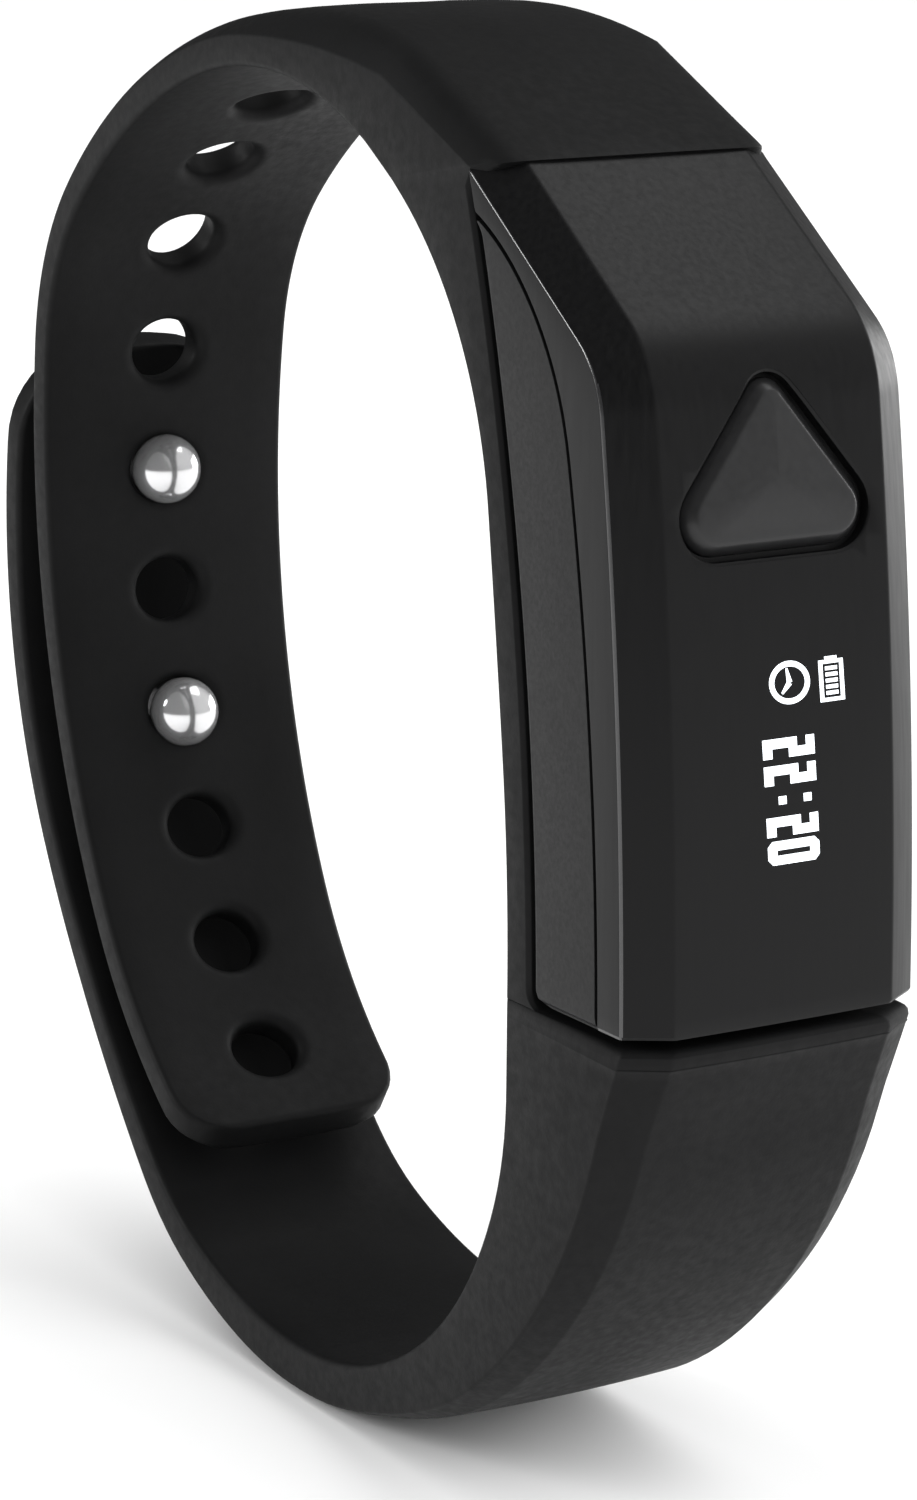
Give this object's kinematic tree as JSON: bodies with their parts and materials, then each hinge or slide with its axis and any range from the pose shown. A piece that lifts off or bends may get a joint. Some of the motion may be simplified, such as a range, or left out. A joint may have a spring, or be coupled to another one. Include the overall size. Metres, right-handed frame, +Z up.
{
  "type": "fitness tracker band",
  "caption": "Black silicone wrist band with a stud clasp and punched holes, holding a removable tracker pod with a triangular button and a small display.",
  "frame": {"origin": "centre of the object's box in X and Y, at its lowest point in Z", "axes": "+X out of the pod's face, +Y along the wrist's axis, +Z up with the fastened band standing on its underside as in the picture"},
  "size_m": [0.081, 0.0192, 0.0854],
  "materials": {
    "silicone": "matte moulded silicone",
    "clasp_coating": "satin black coating",
    "stud_steel": "polished",
    "cover_plastic": "satin black, smoked",
    "case_plastic": "fine matt texture",
    "button_plastic": "satin black",
    "seal_rubber": "soft silicone",
    "foam": "closed-cell foam",
    "switch_metal": "stamped",
    "display_glass": "polished",
    "flex_film": "amber polyimide",
    "ceramic": "matt",
    "board": "solder mask",
    "chip": "moulded epoxy",
    "battery_foil": "foil pouch",
    "tape": "adhesive tape",
    "motor_steel": "pressed steel",
    "contact_gold": "gold plated"
  },
  "bodies": {
    "band": {"upper_strap": "silicone", "cradle_strip": "silicone", "lower_strap": "silicone"},
    "pod": {"top_cover": "cover_plastic", "bottom_case": "case_plastic", "case_seal": "seal_rubber", "button_seal": "seal_rubber", "button_switch": "switch_metal", "display_panel": "display_glass", "display_frame": "foam", "display_flex": "flex_film", "display_connector": "ceramic", "main_board": "board", "bluetooth_chip": "chip", "motion_sensor": "chip", "power_chip": "chip", "chip_antenna": "ceramic", "battery": "battery_foil", "battery_tape": "tape", "vibration_motor": "motor_steel", "board_screw_left": "motor_steel", "board_screw_right": "motor_steel", "charging_pin_1": "contact_gold", "charging_pin_2": "contact_gold", "charging_pin_3": "contact_gold", "charging_pin_4": "contact_gold"},
    "button": {"button_cap": "button_plastic"},
    "tail": {"strap_tail": "silicone"},
    "clasp": {"clasp_strap_end": "silicone", "clasp_plate": "clasp_coating", "stud_upper": "stud_steel", "stud_lower": "stud_steel"}
  },
  "joints": [
    {"name": "pod_release", "type": "slide", "parent": "band", "child": "pod", "axis": [1, 0, 0], "range_m": [0, 0.02]},
    {"name": "button_press", "type": "slide", "parent": "pod", "child": "button", "axis": [-0.9921, 0, -0.1253], "range_m": [0, 0.0003], "stiffness_N_per_m": 4000, "springref_m": -0.00005},
    {"name": "clasp_flex", "type": "hinge", "parent": "band", "child": "clasp", "pos_m": [-0.03025, 0, 0.02088], "axis": [0, -1, 0], "range_deg": [0, 45], "stiffness_Nm_per_rad": 0.04},
    {"name": "tail_flex", "type": "hinge", "parent": "band", "child": "tail", "pos_m": [-0.0322, 0, 0.06497], "axis": [0, -1, 0], "range_deg": [0, 45], "stiffness_Nm_per_rad": 0.04}
  ],
  "couplings": [
    {"joint": "tail_flex", "follows": "clasp_flex", "ratio": 1}
  ]
}
